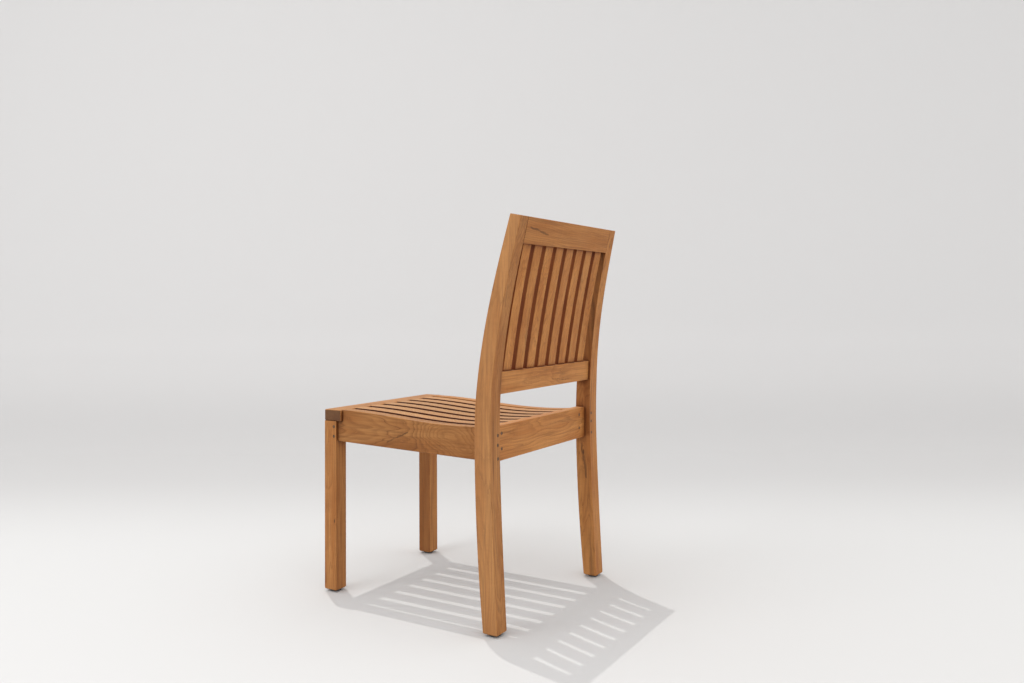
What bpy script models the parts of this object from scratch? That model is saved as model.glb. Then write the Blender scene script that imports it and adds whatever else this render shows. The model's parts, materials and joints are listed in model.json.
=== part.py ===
"""Slatted hardwood dining chair: a rigid frame of separate members that meet in mortise-and-tenon joints.

X runs across the chair (left is the sitter's left, +X), Y from front to back, Z up, metres in the scene.
Dimensions below are millimetres; Y is written from the front face of the front legs.
"""

import math

import bmesh
import bpy

MM = 0.001
FIT = 0.3  # air left between two mated pieces
FRONT_Y = -2.6  # front faces of the legs and of the board on them
MIDDLE_Y = 292.15  # halfway from there to the back of the stiles
SIDES = {"left": 1, "right": -1}

# Front legs, feet and glides
FOOT_Z = 4.0
FOOT_CHAMFER = 3.0
GLIDE_R = 13.0
PAD_CHAMFER = 0.8
STUD_R = 3.0
STUD_TOP = 15.0
FRONT_LEG_X = (172.0, 209.2)
FRONT_LEG_Y = (FRONT_Y, 35.0)
FRONT_LEG_TOP = 420.3
LEG_STUB = 16.0  # square stub on top of the front leg
LEG_STUB_HIGH = 14.0

# Front board, the full-width member that caps the front legs
BOARD_X = 209.2
BOARD_Y = (FRONT_Y, 51.0)
BOARD_Z = (420.6, 448.3)

# Front apron below the board
APRON_Y = (12.0, 32.0)
APRON_Z = (371.5, 420.3)
APRON_TENON_Y = (13.0, 20.0)
APRON_TENON_Z = (379.0, 413.0)
APRON_TENON_X = 192.0

# Side rails
SIDE_X = (172.7, 202.4)
SIDE_Y = (35.3, 480.7)
SIDE_BOTTOM_FRONT = 371.9
SIDE_BOTTOM_SLOPE = 0.026
SIDE_TENON_X = (179.5, 190.5)
SIDE_TENON_Y = 21.5
SIDE_TENON_Z = (376.0, 414.0)

# Dished seat line along Y: level, down to a low point, then up to the rear rail
SEAT_FRONT = (51.0, 448.3)
SEAT_LOW = (385.0, 432.5)
SEAT_BACK = (505.0, 439.0)
SEAT_SLATS = 6
SEAT_PITCH = 55.0
SEAT_SLAT_WIDE = 36.5
SEAT_SLAT_THICK = 17.0
TONGUE_WIDE = 30.0
TONGUE_DROP = (5.0, 12.5)  # tongue top and bottom below the seat line
TONGUE_LONG = 10.0

# Rear legs: one piece from floor to top, swept back above and below the seat
KNEE_Z = 400.0
TOP_Z = 900.0
TOP_DROP = 5.6  # the top is cut square to the rake
LEAN_Z = 500.0
LEG_INNER = 217.8
LEG_OUTER = 257.0
LEAN_INNER = 0.032
LEAN_OUTER = 0.049
KNEE_REAR = 519.0
KNEE_FRONT = 478.2
REAR_SWEEP = (36.8, 90.0, -57.2)  # square, cube and fourth-power terms above the knee
FRONT_SWEEP = (71.7, 47.9, -38.4)
REAR_KICK = (15.7, 1.4)  # reach at the floor and its power, below the knee
FRONT_KICK = (20.1, 1.95)
LEG_STATIONS = (14, 22)

# Rear seat rail
REAR_RAIL_Y = (481.0, 504.1)
REAR_RAIL_Z = (362.0, 439.0)
REAR_TENON_X = 242.0
REAR_TENON_Y = (487.0, 498.0)
REAR_TENON_Z = (368.0, 430.0)

# Lower back rail
LOW_RAIL_INSET = 6.0  # rear face inside the stiles' rear faces
LOW_RAIL_THICK = 30.0
LOW_RAIL_Z = (510.0, 558.7)
LOW_TENON_X = 238.0
LOW_TENON_Y = (497.5, 508.5)
LOW_TENON_Z = (517.0, 552.0)

# Top rail
TOP_RAIL_BOTTOM = 836.5
TOP_RAIL_THICK = 23.0
TOP_TENON_IN = 17.0
TOP_TENON_THICK = 10.0
TOP_TENON_Z = (846.0, 884.0)

# Back slats
BACK_SLATS = 8
BACK_PITCH = 50.5
BACK_SLAT_WIDE = 35.0
BACK_SLAT_THICK = 14.0
BACK_SLAT_Z = (559.0, 836.2)
BACK_LINE = (513.0, 40.7, 13.2)  # rear face: start, linear and square terms over the slat's height
BACK_TENON_WIDE = 26.0
BACK_TENON_THICK = 7.0
BACK_TENON_LONG = 12.0

# Pegs
PEG_R = 3.5
PEG_SIDES = 20
PEG_EASE = 0.4
FRONT_PEG_Y = 28.5
FRONT_PEG_Z = (382.8, 406.5)
FRONT_PEG_IN = 176.5
REAR_PEG_X = 226.5
REAR_PEG_Z = (373.0, 402.0, 423.0)
REAR_PEG_IN = 485.0
RAIL_PEG_X = 187.0
RAIL_PEG_Z = (388.0, 421.7)
RAIL_PEG_IN = 452.0

# Softened arrises
EASE = 1.6
SLAT_EASE = 1.2
BOARD_EASE = 3.0
EASE_STEPS = 2

OPENING = 3.0  # how far a cutter reaches past the face that it opens
SEAT_STATIONS = 16
BACK_STATIONS = 12
TOP_RUN = 20.0  # stretch of a back slat that sets its top tenon's slope

WOOD = (0.36, 0.19, 0.085)
WOOD_PALE = (0.44, 0.25, 0.12)
PEG_WOOD = (0.12, 0.06, 0.03)
PAD_GREY = (0.06, 0.06, 0.06)
ROUGHNESS = 0.6


def seat_z(y):
    """Height of the seat line at this distance from the front."""
    if y <= SEAT_FRONT[0]:
        return SEAT_FRONT[1]
    if y <= SEAT_LOW[0]:
        part = (y - SEAT_FRONT[0]) / (SEAT_LOW[0] - SEAT_FRONT[0])
        return SEAT_FRONT[1] - (SEAT_FRONT[1] - SEAT_LOW[1]) * math.sin(part * math.pi / 2) ** 2
    part = (y - SEAT_LOW[0]) / (SEAT_BACK[0] - SEAT_LOW[0])
    return SEAT_LOW[1] + (SEAT_BACK[1] - SEAT_LOW[1]) * part**2


def leg_line(z, knee, sweep, kick):
    """Y of one edge of the rear leg, seen from the side."""
    if z >= KNEE_Z:
        part = (z - KNEE_Z) / (TOP_Z - KNEE_Z)
        return knee + sum(term * part ** (n + 2) for n, term in enumerate(sweep))
    part = (KNEE_Z - z) / KNEE_Z
    return knee + kick[0] * part ** kick[1]


def leg_rear(z):
    return leg_line(z, KNEE_REAR, REAR_SWEEP, REAR_KICK)


def leg_front(z):
    return leg_line(z, KNEE_FRONT, FRONT_SWEEP, FRONT_KICK)


def leg_inner(z):
    return LEG_INNER - LEAN_INNER * max(0.0, z - LEAN_Z)


def leg_outer(z):
    return LEG_OUTER - LEAN_OUTER * max(0.0, z - LEAN_Z)


def cut_drop(z):
    """How much lower the rear corner of a leg section is than its front corner."""
    return TOP_DROP * max(0.0, z - LEAN_Z) / (TOP_Z - LEAN_Z)


def slat_rear(z):
    part = (z - BACK_SLAT_Z[0]) / (BACK_SLAT_Z[1] - BACK_SLAT_Z[0])
    return BACK_LINE[0] + BACK_LINE[1] * part + BACK_LINE[2] * part**2


def steps(low, high, count):
    return [low + (high - low) * i / count for i in range(count + 1)]


def material(name, colour):
    made = bpy.data.materials.new(name)
    made.use_nodes = True
    surface = made.node_tree.nodes["Principled BSDF"]
    surface.inputs["Base Color"].default_value = (*colour, 1.0)
    surface.inputs["Roughness"].default_value = ROUGHNESS
    return made


def loft(name, rings, eased=None, colour=None, ease=EASE, ends=(False, False)):
    """A closed body through rings of equal corner count.

    The long arrises between the two rings numbered in eased are softened, and ends says the same of those rings.
    """
    mesh = bpy.data.meshes.new(name)
    bm = bmesh.new()
    weight = bm.edges.layers.float.new("bevel_weight_edge")
    placed = [[bm.verts.new((x * MM, (y - MIDDLE_Y) * MM, z * MM)) for x, y, z in ring] for ring in rings]
    for lower, upper in zip(placed, placed[1:]):
        for i in range(len(lower)):
            j = (i + 1) % len(lower)
            bm.faces.new((lower[i], lower[j], upper[j], upper[i]))
    bm.faces.new(placed[0])
    bm.faces.new(placed[-1])
    bmesh.ops.recalc_face_normals(bm, faces=bm.faces)
    if eased:
        first, last = eased
        for number in range(first, last + 1):
            ring = placed[number]
            for i, vert in enumerate(ring):
                if number < last:
                    bm.edges.get((vert, placed[number + 1][i]))[weight] = 1.0
                if (number == first and ends[0]) or (number == last and ends[1]):
                    bm.edges.get((vert, ring[(i + 1) % len(ring)]))[weight] = 1.0
    bm.to_mesh(mesh)
    bm.free()
    made = bpy.data.objects.new(name, mesh)
    if colour is None:
        cutters.objects.link(made)
        made.hide_render = True
        made.display_type = "WIRE"
        return made
    chair.objects.link(made)
    mesh.materials.append(material(name, colour))
    if eased:
        bevel = made.modifiers.new("Eased arrises", "BEVEL")
        bevel.limit_method = "WEIGHT"
        bevel.width = ease * MM
        bevel.segments = EASE_STEPS
    return made


def cut(body, cutter):
    boolean = body.modifiers.new(cutter.name, "BOOLEAN")
    boolean.operation = "DIFFERENCE"
    boolean.solver = "EXACT"
    boolean.object = cutter


def ring_z(x, y, z):
    """Rectangle at one height; z is one value or the front and rear heights."""
    front, rear = z if isinstance(z, tuple) else (z, z)
    return [(x[0], y[0], front), (x[1], y[0], front), (x[1], y[1], rear), (x[0], y[1], rear)]


def ring_y(x, y, z):
    return [(x[0], y, z[0]), (x[1], y, z[0]), (x[1], y, z[1]), (x[0], y, z[1])]


def ring_x(x, y, z):
    return [(x, y[0], z[0]), (x, y[1], z[0]), (x, y[1], z[1]), (x, y[0], z[1])]


def flip(ring, side):
    return [(side * x, y, z) for x, y, z in ring]


def mortise(name, x, y, z):
    """Cutter box. Each span is given as the tenon's, and opens by the fit on every side."""
    grown = [(min(span) - FIT, max(span) + FIT) for span in (x, y, z)]
    return loft(name, [ring_z(grown[0], grown[1], grown[2][0]), ring_z(grown[0], grown[1], grown[2][1])])


def round_rings(axis, centre, stations):
    """Circles square to an axis; each station is (distance along the axis, radius)."""
    rings = []
    for along, radius in stations:
        ring = []
        for i in range(PEG_SIDES):
            turn = 2 * math.pi * i / PEG_SIDES
            across = [centre[0] + radius * math.cos(turn), centre[1] + radius * math.sin(turn)]
            across.insert(axis, along)
            ring.append(tuple(across))
        rings.append(ring)
    return rings


def peg(name, axis, centre, inner, outer):
    """Round peg between two positions along an axis, and the cutter for its hole."""
    way = 1 if outer > inner else -1
    loft(
        name,
        round_rings(
            axis,
            centre,
            [
                (inner, PEG_R - PEG_EASE),
                (inner + way * PEG_EASE, PEG_R),
                (outer - way * PEG_EASE, PEG_R),
                (outer, PEG_R - PEG_EASE),
            ],
        ),
        colour=PEG_WOOD,
    )
    ends = [(inner - way * FIT, PEG_R + FIT), (outer + way * PEG_R, PEG_R + FIT)]
    return loft("hole_" + name, round_rings(axis, centre, ends))


def glide(name, x, y):
    """Round pad with a stud, and the cutter for the stud's hole."""
    stations = [(0.0, GLIDE_R - PAD_CHAMFER), (PAD_CHAMFER, GLIDE_R), (FOOT_Z, GLIDE_R)]
    stations += [(FOOT_Z, STUD_R), (STUD_TOP, STUD_R)]
    loft(name, round_rings(2, (x, y), stations), colour=PAD_GREY)
    ends = [(0.0, STUD_R + FIT), (STUD_TOP + FIT, STUD_R + FIT)]
    return loft("hole_" + name, round_rings(2, (x, y), ends))


def tapered_foot(x, y, z):
    """Two rings that give the foot its chamfer, from its underside up."""
    inset_x = (x[0] + FOOT_CHAMFER, x[1] - FOOT_CHAMFER)
    inset_y = (y[0] + FOOT_CHAMFER, y[1] - FOOT_CHAMFER)
    return [ring_z(inset_x, inset_y, z), ring_z(x, y, z + FOOT_CHAMFER)]


def front_leg(label, side):
    rings = tapered_foot(FRONT_LEG_X, FRONT_LEG_Y, FOOT_Z + FIT)
    rings.append(ring_z(FRONT_LEG_X, FRONT_LEG_Y, FRONT_LEG_TOP))
    middle_x = sum(FRONT_LEG_X) / 2
    middle_y = sum(FRONT_LEG_Y) / 2
    stub_x = (middle_x - LEG_STUB / 2, middle_x + LEG_STUB / 2)
    stub_y = (middle_y - LEG_STUB / 2, middle_y + LEG_STUB / 2)
    stub_top = FRONT_LEG_TOP + LEG_STUB_HIGH
    rings += [ring_z(stub_x, stub_y, FRONT_LEG_TOP), ring_z(stub_x, stub_y, stub_top)]
    leg = loft("front_leg_" + label, [flip(ring, side) for ring in rings], (0, 2), WOOD, ends=(True, False))
    across = [side * x for x in SIDE_TENON_X]
    cut(leg, mortise("side_mortise_" + label, across, (SIDE_TENON_Y, FRONT_LEG_Y[1] + OPENING), SIDE_TENON_Z))
    across = (side * (FRONT_LEG_X[0] - OPENING), side * APRON_TENON_X)
    cut(leg, mortise("apron_mortise_" + label, across, APRON_TENON_Y, APRON_TENON_Z))
    cut(leg, glide("glide_front_" + label, side * middle_x, middle_y))
    across = [side * x for x in stub_x]
    return leg, mortise("stub_mortise_" + label, across, stub_y, (BOARD_Z[0] - OPENING, stub_top))


def rear_leg(label, side):
    heights = steps(FOOT_Z + FIT + FOOT_CHAMFER, KNEE_Z, LEG_STATIONS[0])
    heights += steps(KNEE_Z, TOP_Z, LEG_STATIONS[1])[1:]
    foot = FOOT_Z + FIT
    foot_y = (leg_front(foot), leg_rear(foot))
    rings = tapered_foot((LEG_INNER, LEG_OUTER), foot_y, foot)[:1]
    for z in heights:
        rear_z = z - cut_drop(z)
        rings.append(ring_z((leg_inner(z), leg_outer(z)), (leg_front(z), leg_rear(rear_z)), (z, rear_z)))
    last = len(rings) - 1
    leg = loft("rear_leg_" + label, [flip(ring, side) for ring in rings], (0, last), WOOD, ends=(True, True))
    for name, reach, y, z in (
        ("rear_rail", REAR_TENON_X, REAR_TENON_Y, REAR_TENON_Z),
        ("low_rail", LOW_TENON_X, LOW_TENON_Y, LOW_TENON_Z),
    ):
        cut(leg, mortise(f"{name}_mortise_{label}", (side * (LEG_INNER - OPENING), side * reach), y, z))
    cut(leg, top_tenon("top_mortise_" + label, side, FIT))
    cut(leg, glide("glide_rear_" + label, side * (LEG_INNER + LEG_OUTER) / 2, sum(foot_y) / 2))
    return leg


def rake(z):
    """Rear face of the top rail at this height, flush with the stiles."""
    return leg_rear(z)


def top_tenon_rings(side, grow):
    """Tenon of the top rail, square to the rake, from inside the rail's end to its tip."""
    low, high = TOP_TENON_Z[0] - grow, TOP_TENON_Z[1] + grow
    back = (TOP_RAIL_THICK - TOP_TENON_THICK) / 2 - grow
    front = back + TOP_TENON_THICK + 2 * grow
    section = [(rake(low) - front, low), (rake(low) - back, low), (rake(high) - back, high), (rake(high) - front, high)]
    tip = leg_inner(TOP_TENON_Z[1]) + TOP_TENON_IN + grow
    return section, tip


def top_tenon(name, side, grow):
    section, tip = top_tenon_rings(side, grow)
    return loft(name, [[(side * x, y, z) for y, z in section] for x in (leg_inner(TOP_Z) - OPENING, tip)])


def rail_slope():
    """Rise per length, towards the front, of the top rail's upper and lower faces."""
    return TOP_DROP / (rake(TOP_Z) - leg_front(TOP_Z))


def top_rail():
    low = TOP_RAIL_BOTTOM
    rear_top = TOP_Z - TOP_DROP
    front_low = low + rail_slope() * TOP_RAIL_THICK
    front_top = rear_top + rail_slope() * TOP_RAIL_THICK
    middle = (low + rear_top) / 2
    front_middle = (front_low + front_top) / 2
    body = [
        (rake(low) - TOP_RAIL_THICK, front_low),
        (rake(low), low),
        (rake(middle), middle),
        (rake(rear_top), rear_top),
        (rake(rear_top) - TOP_RAIL_THICK, front_top),
        (rake(middle) - TOP_RAIL_THICK, front_middle),
    ]
    section, tip = top_tenon_rings(1, 0.0)
    half = (TOP_TENON_Z[0] + TOP_TENON_Z[1]) / 2
    back = (TOP_RAIL_THICK - TOP_TENON_THICK) / 2
    rear_mid = (rake(half) - back, half)
    front_mid = (rake(half) - back - TOP_TENON_THICK, half)
    tenon = [section[0], section[1], rear_mid, section[2], section[3], front_mid]
    shoulder = [(leg_inner(z) - FIT, y, z) for y, z in body]
    root = [(leg_inner(z) - FIT, y, z) for y, z in tenon]
    end = [(tip, y, z) for y, z in tenon]
    rings = [flip(ring, -1) for ring in (end, root, shoulder)] + [shoulder, root, end]
    return loft("top_rail", rings, (2, 3), WOOD)


def cross_rail(name, y, z, half, tenon_x, tenon_y, tenon_z):
    """Straight rail across the chair with a tenon at each end."""
    body, tenon = (y, z), (tenon_y, tenon_z)
    stations = [(-tenon_x, tenon), (-half, tenon), (-half, body), (half, body), (half, tenon), (tenon_x, tenon)]
    return loft(name, [ring_x(x, *spans) for x, spans in stations], (2, 3), WOOD)


def low_rail():
    """Lower back rail, whose ends follow the lean of the stiles."""
    low, high = LOW_RAIL_Z
    shoulder = []
    for z, thick in ((low, LOW_RAIL_THICK), (low, 0.0), (high, 0.0), (high, LOW_RAIL_THICK)):
        shoulder.append((leg_inner(z) - FIT, leg_rear(z) - LOW_RAIL_INSET - thick, z))
    root = [(leg_inner(z) - FIT, y, z) for _, y, z in ring_x(0.0, LOW_TENON_Y, LOW_TENON_Z)]
    end = ring_x(LOW_TENON_X, LOW_TENON_Y, LOW_TENON_Z)
    rings = [flip(ring, -1) for ring in (end, root, shoulder)] + [shoulder, root, end]
    return loft("lower_back_rail", rings, (2, 3), WOOD)


def side_rail(label, side):
    def bottom(y):
        return SIDE_BOTTOM_FRONT - SIDE_BOTTOM_SLOPE * y

    rings = [
        ring_y(SIDE_TENON_X, SIDE_TENON_Y, SIDE_TENON_Z),
        ring_y(SIDE_TENON_X, SIDE_Y[0], SIDE_TENON_Z),
        ring_y(SIDE_X, SIDE_Y[0], (bottom(SIDE_Y[0]), SEAT_FRONT[1])),
    ]
    rings += [ring_y(SIDE_X, y, (bottom(y), seat_z(y))) for y in steps(BOARD_Y[1], SIDE_Y[1], SEAT_STATIONS)]
    last = len(rings) - 1
    rail = loft("side_rail_" + label, [flip(ring, side) for ring in rings], (2, last), WOOD)
    across = [side * x for x in SIDE_X]
    cut(rail, mortise("board_seat_" + label, across, (BOARD_Y[0], BOARD_Y[1]), (BOARD_Z[0], BOARD_Z[1] + OPENING)))
    return rail


def seat_slat(number, x):
    """Dished slat with a tongue at each end, and the cutters for the two housings."""
    wide = (x - SEAT_SLAT_WIDE / 2, x + SEAT_SLAT_WIDE / 2)
    tongue = (x - TONGUE_WIDE / 2, x + TONGUE_WIDE / 2)
    start, stop = BOARD_Y[1] + FIT, REAR_RAIL_Y[0] - FIT

    def tongue_z(y):
        return seat_z(y) - TONGUE_DROP[1], seat_z(y) - TONGUE_DROP[0]

    rings = [ring_y(tongue, y, tongue_z(start)) for y in (start - TONGUE_LONG, start)]
    for y in steps(start, stop, SEAT_STATIONS):
        rings.append(ring_y(wide, y, (seat_z(y) - SEAT_SLAT_THICK, seat_z(y))))
    rings += [ring_y(tongue, y, tongue_z(stop)) for y in (stop, stop + TONGUE_LONG)]
    loft(f"seat_slat_{number}", rings, (2, len(rings) - 3), WOOD_PALE, SLAT_EASE)
    front = mortise(f"front_housing_{number}", tongue, (start - TONGUE_LONG, start + OPENING), tongue_z(start))
    back = mortise(f"back_housing_{number}", tongue, (stop - OPENING, stop + TONGUE_LONG), tongue_z(stop))
    return front, back


def back_slat(number, x):
    """Curved upright slat with a tenon at each end, and the cutters for the two mortises."""
    wide = (x - BACK_SLAT_WIDE / 2, x + BACK_SLAT_WIDE / 2)
    tenon = (x - BACK_TENON_WIDE / 2, x + BACK_TENON_WIDE / 2)
    low, high = BACK_SLAT_Z
    rise = (slat_rear(high) - slat_rear(high - TOP_RUN)) / TOP_RUN
    inset = (BACK_SLAT_THICK - BACK_TENON_THICK) / 2

    def tenon_y(rear):
        return rear - inset - BACK_TENON_THICK, rear - inset

    def at_rail(x, y):
        """Ring where lines that leave the slat's top at these Y meet the rail's sloping underside."""
        climbs = [rail_slope() * (rake(high) - each) / (1 + rail_slope() * rise) for each in y]
        met = [each + rise * climb for each, climb in zip(y, climbs)]
        return ring_z(x, met, (high + climbs[0], high + climbs[1]))

    rings = [ring_z(tenon, tenon_y(slat_rear(low)), z) for z in (low - BACK_TENON_LONG, low)]
    for z in steps(low, high, BACK_STATIONS)[:-1]:
        rings.append(ring_z(wide, (slat_rear(z) - BACK_SLAT_THICK, slat_rear(z)), z))
    ends = (slat_rear(high) - BACK_SLAT_THICK, slat_rear(high))
    tip = tenon_y(ends[1] + rise * BACK_TENON_LONG)
    rings += [at_rail(wide, ends), at_rail(tenon, tenon_y(ends[1])), ring_z(tenon, tip, high + BACK_TENON_LONG)]
    loft(f"back_slat_{number}", rings, (2, len(rings) - 3), WOOD)
    lower = mortise(f"low_socket_{number}", tenon, tenon_y(slat_rear(low)), (low - BACK_TENON_LONG, low + OPENING))
    grown = (tenon[0] - FIT, tenon[1] + FIT)
    sockets = []
    for z in (high - OPENING, high + BACK_TENON_LONG + FIT):
        near, far = tenon_y(slat_rear(high) + rise * (z - high))
        sockets.append(ring_z(grown, (near - FIT, far + FIT), z))
    return lower, loft(f"top_socket_{number}", sockets)


for stale in list(bpy.data.objects):
    bpy.data.objects.remove(stale)
chair = bpy.data.collections.new("dining_chair")
cutters = bpy.data.collections.new("cutters")
cutters.hide_render = True
bpy.context.scene.collection.children.link(chair)
bpy.context.scene.collection.children.link(cutters)

board = loft(
    "front_board",
    [ring_x(x, BOARD_Y, BOARD_Z) for x in (-BOARD_X, BOARD_X)],
    (0, 1),
    WOOD_PALE,
    BOARD_EASE,
    (True, True),
)
apron = cross_rail(
    "front_apron",
    APRON_Y,
    APRON_Z,
    FRONT_LEG_X[0] - FIT,
    APRON_TENON_X - FIT,
    APRON_TENON_Y,
    APRON_TENON_Z,
)
back_rail = cross_rail(
    "rear_seat_rail",
    REAR_RAIL_Y,
    REAR_RAIL_Z,
    LEG_INNER - FIT,
    REAR_TENON_X - FIT,
    REAR_TENON_Y,
    REAR_TENON_Z,
)
lower_rail = low_rail()
crest = top_rail()

for label, side in SIDES.items():
    leg, stub = front_leg(label, side)
    cut(board, stub)
    stile = rear_leg(label, side)
    rail = side_rail(label, side)
    for i, z in enumerate(FRONT_PEG_Z, 1):
        name = f"front_leg_peg_{label}_{i}"
        hole = peg(name, 0, (FRONT_PEG_Y, z), side * FRONT_PEG_IN, side * FRONT_LEG_X[1])
        cut(leg, hole)
        cut(rail, hole)
    for i, z in enumerate(REAR_PEG_Z, 1):
        hole = peg(f"rear_leg_peg_{label}_{i}", 1, (side * REAR_PEG_X, z), REAR_PEG_IN, leg_rear(z))
        cut(stile, hole)
        cut(back_rail, hole)
    for i, z in enumerate(RAIL_PEG_Z, 1):
        name = f"rail_peg_{label}_{i}"
        hole = peg(name, 1, (side * RAIL_PEG_X, z), RAIL_PEG_IN, REAR_RAIL_Y[1])
        cut(back_rail, hole)
        cut(rail, hole)

for i in range(SEAT_SLATS):
    front_housing, back_housing = seat_slat(i + 1, SEAT_PITCH * (i - (SEAT_SLATS - 1) / 2))
    cut(board, front_housing)
    cut(back_rail, back_housing)

for i in range(BACK_SLATS):
    low_socket, top_socket = back_slat(i + 1, BACK_PITCH * (i - (BACK_SLATS - 1) / 2))
    cut(lower_rail, low_socket)
    cut(crest, top_socket)
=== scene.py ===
"""Slatted hardwood dining chair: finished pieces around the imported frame, in a plain pale studio.

Shapes repeat the frame's dimensions in millimetres, with finer arrises. The wood is one solid texture
that each piece is cut from along its own grain, so faces, arrises and end grain agree with each other.
"""

import json
import math
import random

import bmesh
import bpy
from mathutils import Matrix, Vector

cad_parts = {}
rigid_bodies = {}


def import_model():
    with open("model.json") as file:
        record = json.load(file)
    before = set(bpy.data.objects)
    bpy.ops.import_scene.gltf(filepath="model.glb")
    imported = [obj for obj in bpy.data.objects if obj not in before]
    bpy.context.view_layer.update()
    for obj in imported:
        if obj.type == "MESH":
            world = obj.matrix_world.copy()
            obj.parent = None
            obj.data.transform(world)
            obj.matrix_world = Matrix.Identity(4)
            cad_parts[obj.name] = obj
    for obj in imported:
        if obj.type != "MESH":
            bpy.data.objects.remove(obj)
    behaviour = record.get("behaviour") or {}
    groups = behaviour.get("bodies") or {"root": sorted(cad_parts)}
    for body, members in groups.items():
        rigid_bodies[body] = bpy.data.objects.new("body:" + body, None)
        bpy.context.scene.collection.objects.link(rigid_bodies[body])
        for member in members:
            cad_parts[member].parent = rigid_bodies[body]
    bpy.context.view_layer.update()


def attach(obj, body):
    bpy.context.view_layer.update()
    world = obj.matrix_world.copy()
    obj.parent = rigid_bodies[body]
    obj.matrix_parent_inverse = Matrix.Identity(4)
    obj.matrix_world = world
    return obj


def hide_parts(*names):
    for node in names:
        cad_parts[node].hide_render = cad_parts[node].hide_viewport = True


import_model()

MM = 0.001
FIT = 0.3  # air left between two mated pieces
FRONT_Y = -2.6  # front faces of the legs and of the board on them
MIDDLE_Y = 292.15  # halfway from there to the back of the stiles
SIDES = {"left": 1, "right": -1}

# Front legs, feet and glides
FOOT_Z = 4.0
FOOT_CHAMFER = 3.0
GLIDE_R = 13.0
PAD_CHAMFER = 0.8
STUD_R = 3.0
STUD_TOP = 15.0
FRONT_LEG_X = (172.0, 209.2)
FRONT_LEG_Y = (FRONT_Y, 35.0)
FRONT_LEG_TOP = 420.3
LEG_STUB = 16.0  # square stub on top of the front leg
LEG_STUB_HIGH = 14.0

# Front board, the full-width member that caps the front legs
BOARD_X = 209.2
BOARD_Y = (FRONT_Y, 51.0)
BOARD_Z = (420.6, 448.3)

# Front apron below the board
APRON_Y = (12.0, 32.0)
APRON_Z = (371.5, 420.3)
APRON_TENON_Y = (13.0, 20.0)
APRON_TENON_Z = (379.0, 413.0)
APRON_TENON_X = 192.0

# Side rails
SIDE_X = (172.7, 202.4)
SIDE_Y = (35.3, 480.7)
SIDE_BOTTOM_FRONT = 371.9
SIDE_BOTTOM_SLOPE = 0.026
SIDE_TENON_X = (179.5, 190.5)
SIDE_TENON_Y = 21.5
SIDE_TENON_Z = (376.0, 414.0)

# Dished seat line along Y: level, down to a low point, then up to the rear rail
SEAT_FRONT = (51.0, 448.3)
SEAT_LOW = (385.0, 432.5)
SEAT_BACK = (505.0, 439.0)
SEAT_SLATS = 6
SEAT_PITCH = 55.0
SEAT_SLAT_WIDE = 36.5
SEAT_SLAT_THICK = 17.0
TONGUE_WIDE = 30.0
TONGUE_DROP = (5.0, 12.5)  # tongue top and bottom below the seat line
TONGUE_LONG = 10.0

# Rear legs: one piece from floor to top, swept back above and below the seat
KNEE_Z = 400.0
TOP_Z = 900.0
TOP_DROP = 5.6  # the top is cut square to the rake
LEAN_Z = 500.0
LEG_INNER = 217.8
LEG_OUTER = 257.0
LEAN_INNER = 0.032
LEAN_OUTER = 0.049
KNEE_REAR = 519.0
KNEE_FRONT = 478.2
REAR_SWEEP = (36.8, 90.0, -57.2)  # square, cube and fourth-power terms above the knee
FRONT_SWEEP = (71.7, 47.9, -38.4)
REAR_KICK = (15.7, 1.4)  # reach at the floor and its power, below the knee
FRONT_KICK = (20.1, 1.95)
LEG_STATIONS = (14, 22)

# Rear seat rail
REAR_RAIL_Y = (481.0, 504.1)
REAR_RAIL_Z = (362.0, 439.0)
REAR_TENON_X = 242.0
REAR_TENON_Y = (487.0, 498.0)
REAR_TENON_Z = (368.0, 430.0)

# Lower back rail
LOW_RAIL_INSET = 6.0  # rear face inside the stiles' rear faces
LOW_RAIL_THICK = 30.0
LOW_RAIL_Z = (510.0, 558.7)
LOW_TENON_X = 238.0
LOW_TENON_Y = (497.5, 508.5)
LOW_TENON_Z = (517.0, 552.0)

# Top rail
TOP_RAIL_BOTTOM = 836.5
TOP_RAIL_THICK = 23.0
TOP_TENON_IN = 17.0
TOP_TENON_THICK = 10.0
TOP_TENON_Z = (846.0, 884.0)

# Back slats
BACK_SLATS = 8
BACK_PITCH = 50.5
BACK_SLAT_WIDE = 35.0
BACK_SLAT_THICK = 14.0
BACK_SLAT_Z = (559.0, 836.2)
BACK_LINE = (513.0, 40.7, 13.2)  # rear face: start, linear and square terms over the slat's height
BACK_TENON_WIDE = 26.0
BACK_TENON_THICK = 7.0
BACK_TENON_LONG = 12.0

# Pegs
PEG_R = 3.5
PEG_SIDES = 32
PEG_EASE = 0.4
FRONT_PEG_Y = 28.5
FRONT_PEG_Z = (382.8, 406.5)
FRONT_PEG_IN = 176.5
REAR_PEG_X = 226.5
REAR_PEG_Z = (373.0, 402.0, 423.0)
REAR_PEG_IN = 485.0
RAIL_PEG_X = 187.0
RAIL_PEG_Z = (388.0, 421.7)
RAIL_PEG_IN = 452.0

# Softened arrises
EASE = 1.6
SLAT_EASE = 1.2
BOARD_EASE = 3.0
EASE_STEPS = 4

OPENING = 3.0  # how far a cutter reaches past the face that it opens
SEAT_STATIONS = 16
BACK_STATIONS = 12
TOP_RUN = 20.0  # stretch of a back slat that sets its top tenon's slope

# What a piece is made of, which picks its material
WOOD, PEG_WOOD, PAD_GREY = "wood", "peg", "pad"


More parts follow.
